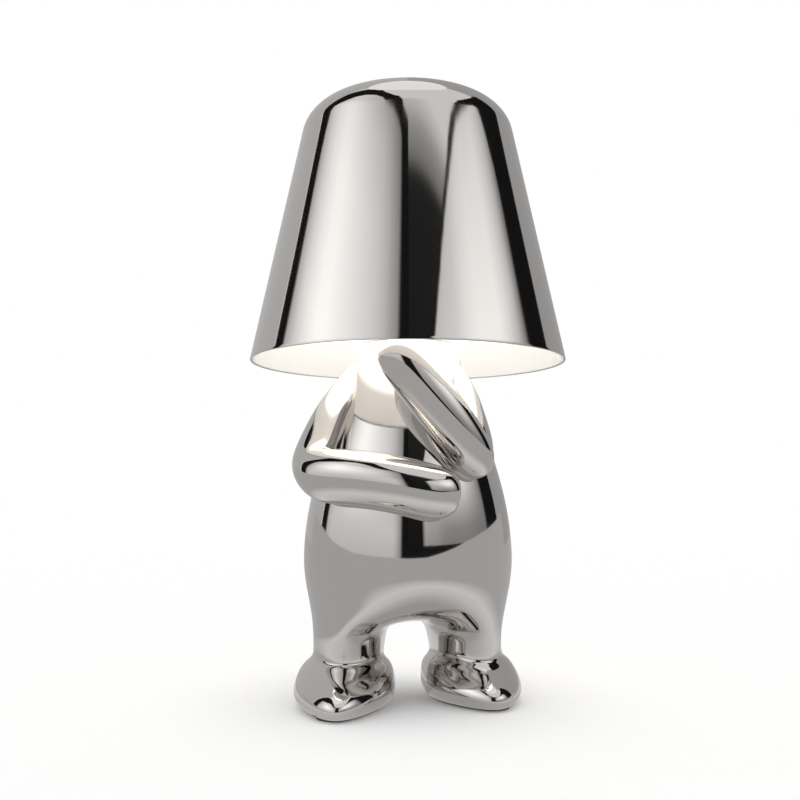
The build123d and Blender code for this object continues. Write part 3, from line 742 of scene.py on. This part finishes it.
def makeWallGlow(name, top, dip, tones):
    material, flow, shader = newMaterial(name)
    azimuth, height = azimuthAndHeight(flow)
    glowing(flow, shader, toneRamp(flow, height + azimuth * azimuth * dip, 0.0, top, tones), 1.0)
    return material


def makeRoundGlow(name, tones):
    # tones that change with the distance from the object's middle
    material, flow, shader = newMaterial(name)
    reach = flow.node("ShaderNodeVectorMath", {"operation": "LENGTH"}, {0: objectPlace(flow)}, out="Value")
    glowing(flow, shader, toneRamp(flow, reach, 0.0, cloth["outer"], tones), 1.0)
    return material


def makeEvenGlow(name, tone):
    return makeRoundGlow(name, [(0.0, tone), (1.0, tone)])


def heightLine(flow, azimuth, line):
    # the height of a line at an azimuth, as a colour ramp of heights in shares of the tallest one
    first, last = line[0][0], line[-1][0]
    tallest = panelCard["tallest"]
    stops = [((angle - first) / (last - first), height / tallest) for angle, height in line]
    return toneRamp(flow, azimuth, math.radians(first), math.radians(last), stops) * tallest


def makePanelGlow(name, panel):
    # a lit field that fades softly into its black border
    material, flow, shader = newMaterial(name)
    azimuth, height = azimuthAndHeight(flow)
    first, last = (math.radians(angle) for angle in panel["field"])
    above = (height - heightLine(flow, azimuth, panel["crest"])) * panel["crisp"]
    beside = flow.maths("MAXIMUM", azimuth - last, azimuth * -1.0 + first) * panelCard["radius"]
    lit = span(flow, flow.maths("MAXIMUM", above, beside), 0.0, -panel["edge"])
    high = toneRamp(flow, azimuth, first, last, panel["across"])
    low = toneRamp(flow, azimuth, first, last, panel["acrossLow"])
    across = low + (high - low) * span(flow, height, panelCard["low"], panelCard["high"])
    upward = toneRamp(flow, height, 0.0, panel["tall"], panel["upward"])
    glowing(flow, shader, across * upward * lit + panelCard["black"], panel["strength"])
    return material


def glossyOnly(card):
    card.visible_camera = False
    card.visible_diffuse = False
    card.visible_transmission = False
    card.visible_volume_scatter = False
    card.visible_shadow = False


def heightAt(line, angle):
    for (first, low), (last, high) in zip(line, line[1:]):
        if first <= angle <= last:
            return low + (high - low) * (angle - first) / (last - first)


def curvedCard(name, line, radius, finish):
    # part of an upright drum round the object, under a line of azimuths and heights, turned with the camera
    bm = bmesh.new()
    first, last = line[0][0], line[-1][0]
    posts = []
    for step in range(cards["steps"] + 1):
        angle = min(first + (last - first) * step / cards["steps"], last)
        spot = Vector((math.sin(math.radians(angle)), -math.cos(math.radians(angle)), 0)) * radius
        posts.append((bm.verts.new(spot), bm.verts.new(spot + Vector((0, 0, heightAt(line, angle))))))
    for (foot, head), (nextFoot, nextHead) in zip(posts, posts[1:]):
        bm.faces.new((foot, nextFoot, nextHead, head))
    card = newPiece(name, bm, finish)
    card.rotation_euler.z = math.radians(view["azimuth"])
    glossyOnly(card)


def makeWalls():
    for name, (first, last, radius, top, dip, tones) in walls.items():
        curvedCard(name, [(first, top), (last, top)], radius, makeWallGlow(name, top, dip, tones))
    bm = bmesh.new()
    disc = bmesh.ops.create_circle(bm, cap_ends=True, segments=cards["discSteps"], radius=ceiling["radius"])
    bmesh.ops.translate(bm, vec=(0, 0, ceiling["height"]), verts=disc["verts"])
    glossyOnly(newPiece("ceiling", bm, makeEvenGlow("ceiling", ceiling["tone"])))


def makePanels():
    for name, panel in panels.items():
        curvedCard(name, panel["rim"], panelCard["radius"], makePanelGlow(name, panel))


def makeCloth():
    finish = makeRoundGlow("cloth", cloth["tones"])
    glossyOnly(lathe("cloth", cloth["outline"], {}, cards["discSteps"], finish))
    curvedCard("sweep", sweep["edge"], sweep["radius"], makeEvenGlow("sweep", sweep["tone"]))


def makeFloor():
    material, flow, shader = newMaterial("paleFloor")
    grain = noise(flow, objectPlace(flow), *floor["grain"])
    least, spread = floor["roughness"]
    feed(
        flow, shader, Base_Color=(*grey(floor["tone"]), 1), Roughness=grain * spread + least,
        Specular_IOR_Level=0.0,
    )
    bm = bmesh.new()
    bmesh.ops.create_grid(bm, x_segments=1, y_segments=1, size=floor["size"] / 2)
    newPiece("floor", bm, material)


def makeWorld():
    world = bpy.data.worlds.new("whiteSurround")
    world.use_nodes = True
    back = world.node_tree.nodes["Background"]
    back.inputs[0].default_value = (1, 1, 1, 1)
    back.inputs[1].default_value = 1.0
    scene.world = world


makeFloor()
makeWalls()
makePanels()
makeCloth()
makeWorld()
print("stage made")
